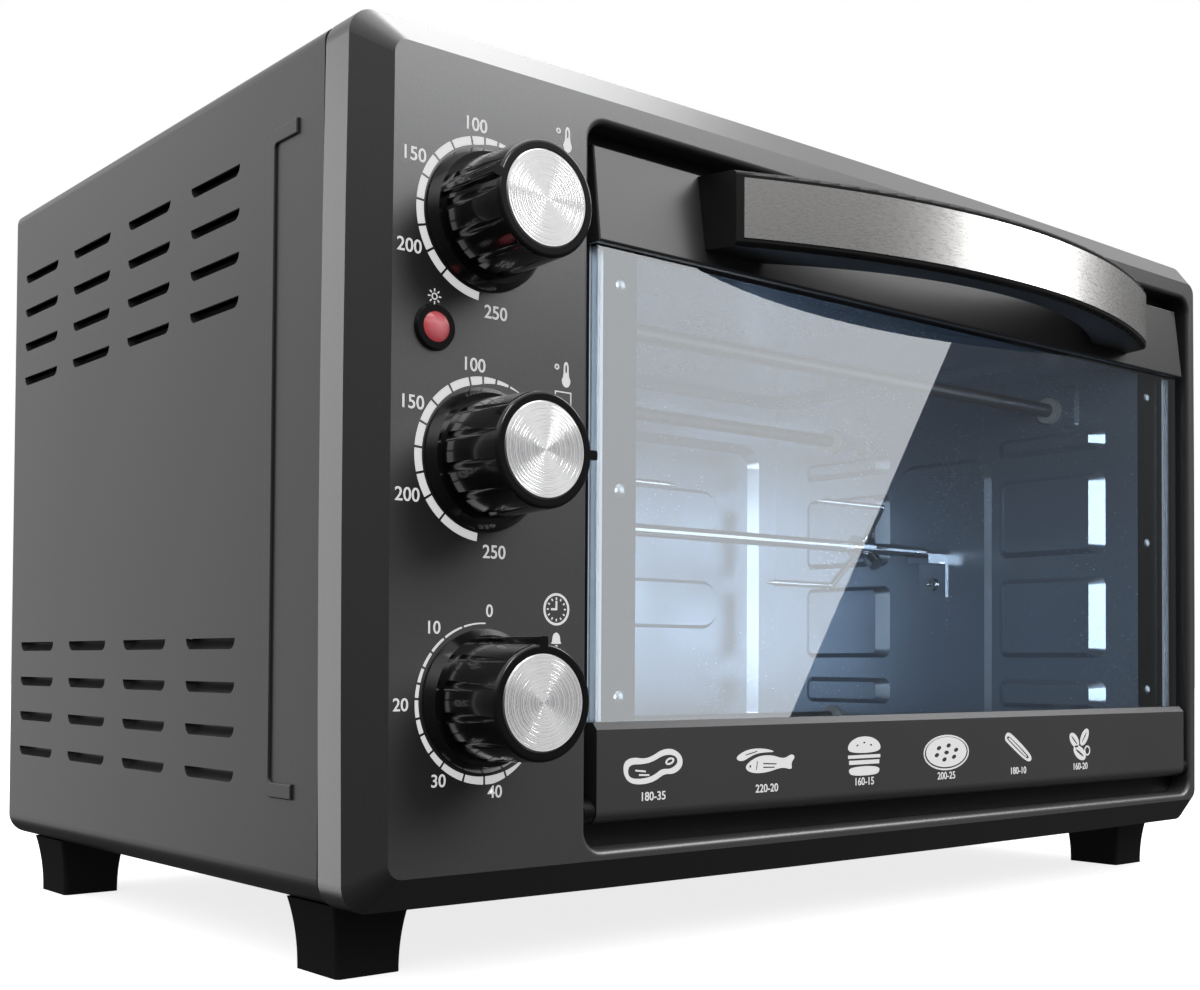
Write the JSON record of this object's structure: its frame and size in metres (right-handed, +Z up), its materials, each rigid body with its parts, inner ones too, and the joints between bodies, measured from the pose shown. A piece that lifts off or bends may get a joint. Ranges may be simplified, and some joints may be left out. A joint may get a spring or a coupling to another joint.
{
  "type": "countertop electric oven",
  "caption": "Countertop electric oven with a drop-down glass door, bowed handle, column of dials at one side, louvred steel casing and a motor-driven spit inside.",
  "frame": {"origin": "middle of the whole object's footprint, on the surface its feet stand on", "axes": "+Z up, the door and the dials face -Y, the dials are at -X, the spit lies along X"},
  "size_m": [0.48, 0.346, 0.302],
  "materials": {
    "shell_paint": "satin charcoal enamel",
    "black_paint": "satin black",
    "zinc_steel": "zinc-plated sheet",
    "cavity_steel": "aluminised sheet",
    "steel": "plated",
    "black_plastic": "fine matt",
    "knob_black": "gloss",
    "spun_aluminium": "spun",
    "brushed_steel": "brushed lengthwise",
    "rail_aluminium": "satin",
    "door_glass": "clear tempered",
    "silicone": "matt",
    "red_lens": "clear red",
    "heater_tube": "oxidised",
    "white_ceramic": "unglazed",
    "bright_chrome": "polished",
    "plated_case": "plated"
  },
  "bodies": {
    "oven_body": {"front_frame": "shell_paint", "outer_casing": "shell_paint", "base_panel": "zinc_steel", "back_panel": "black_paint", "cord_inlet": "black_plastic", "back_screws": "steel", "foot_front_left": "black_plastic", "foot_front_right": "black_plastic", "foot_rear_left": "black_plastic", "foot_rear_right": "black_plastic", "foot_screws": "steel", "cavity_front_frame": "zinc_steel", "frame_rivets": "steel", "cavity_wall_right": "cavity_steel", "cavity_wall_left": "cavity_steel", "cavity_wall_back": "cavity_steel", "cavity_floor": "cavity_steel", "cavity_roof": "cavity_steel", "partition_plate": "zinc_steel", "hinge_pins": "zinc_steel", "hinge_bushes": "black_plastic", "thermostat_upper": "plated_case", "thermostat_middle": "plated_case", "timer": "plated_case", "control_screws": "steel", "indicator_collar": "black_plastic", "indicator_lens": "red_lens", "heater_upper_front": "heater_tube", "heater_lower_front": "heater_tube", "heater_upper_rear": "heater_tube", "heater_lower_rear": "heater_tube", "heater_bushes": "white_ceramic", "spit_motor": "plated_case", "spit_support": "bright_chrome", "spit_screws": "steel"},
    "door": {"door_top_band": "shell_paint", "door_bottom_band": "shell_paint", "door_glass": "door_glass", "glass_packing": "silicone", "door_rail_left": "rail_aluminium", "door_rail_right": "rail_aluminium", "door_stays": "zinc_steel", "handle_body": "black_plastic", "handle_strip": "brushed_steel", "handle_screws": "steel"},
    "spit": {"spit_rod": "bright_chrome", "spit_fork_left": "bright_chrome", "spit_fork_right": "bright_chrome", "fork_thumbscrews": "bright_chrome", "drive_socket": "bright_chrome", "drive_shaft": "steel"},
    "dial_upper": {"knob_upper": "knob_black", "knob_disc_upper": "spun_aluminium", "shaft_upper": "steel"},
    "dial_middle": {"knob_middle": "knob_black", "knob_disc_middle": "spun_aluminium", "shaft_middle": "steel"},
    "dial_timer": {"knob_timer": "knob_black", "knob_disc_timer": "spun_aluminium", "shaft_timer": "steel"}
  },
  "joints": [
    {"name": "door_hinge", "type": "hinge", "parent": "oven_body", "child": "door", "pos_m": [0.03515, -0.1273, 0.0499], "axis": [1, 0, 0], "range_deg": [0, 90]},
    {"name": "upper_dial_turn", "type": "hinge", "parent": "oven_body", "child": "dial_upper", "pos_m": [-0.1955, -0.132, 0.2393], "axis": [0, -1, 0], "range_deg": [-165, 99]},
    {"name": "middle_dial_turn", "type": "hinge", "parent": "oven_body", "child": "dial_middle", "pos_m": [-0.1955, -0.132, 0.1634], "axis": [0, -1, 0], "range_deg": [0, 264]},
    {"name": "timer_dial_turn", "type": "hinge", "parent": "oven_body", "child": "dial_timer", "pos_m": [-0.1955, -0.132, 0.0875], "axis": [0, -1, 0], "range_deg": [0, 228]},
    {"name": "spit_turn", "type": "hinge", "parent": "oven_body", "child": "spit", "pos_m": [0.03515, 0.00185, 0.1603], "axis": [1, 0, 0], "continuous": true}
  ]
}
